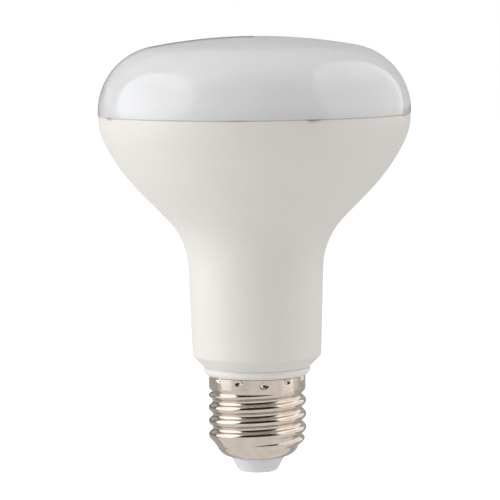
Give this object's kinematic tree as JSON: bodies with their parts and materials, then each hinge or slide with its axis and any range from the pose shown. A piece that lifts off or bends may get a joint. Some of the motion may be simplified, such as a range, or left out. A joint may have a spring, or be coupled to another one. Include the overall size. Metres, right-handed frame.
{
  "type": "reflector bulb",
  "caption": "Mushroom-shaped reflector lamp: milky domed diffuser on a flared white moulded housing with a straight neck, on an E27 screw cap.",
  "frame": {"origin": "lowest point of the centre contact, on the axis of the bulb", "axes": "+Z along the axis from the screw cap to the diffuser, +X to the right and -Y towards the viewer of the picture"},
  "size_m": [0.0834, 0.0834, 0.1173],
  "materials": {
    "diffuser": "glossy milky white polycarbonate",
    "adhesive": "cured silicone adhesive, brownish where it was squeezed out",
    "housing": "fine matt warm white moulding",
    "carrier": "slightly translucent white moulding",
    "cap_metal": "bright nickel plate on rolled sheet",
    "insulator": "satin white moulding, cool in tone",
    "contact_metal": "bright nickel plate"
  },
  "bodies": {
    "root": {"centre_contact": "contact_metal", "cap_insulator": "insulator", "screw_shell": "cap_metal", "cap_carrier": "carrier", "housing": "housing", "seam_adhesive": "adhesive", "diffuser_cover": "diffuser"}
  },
  "joints": []
}
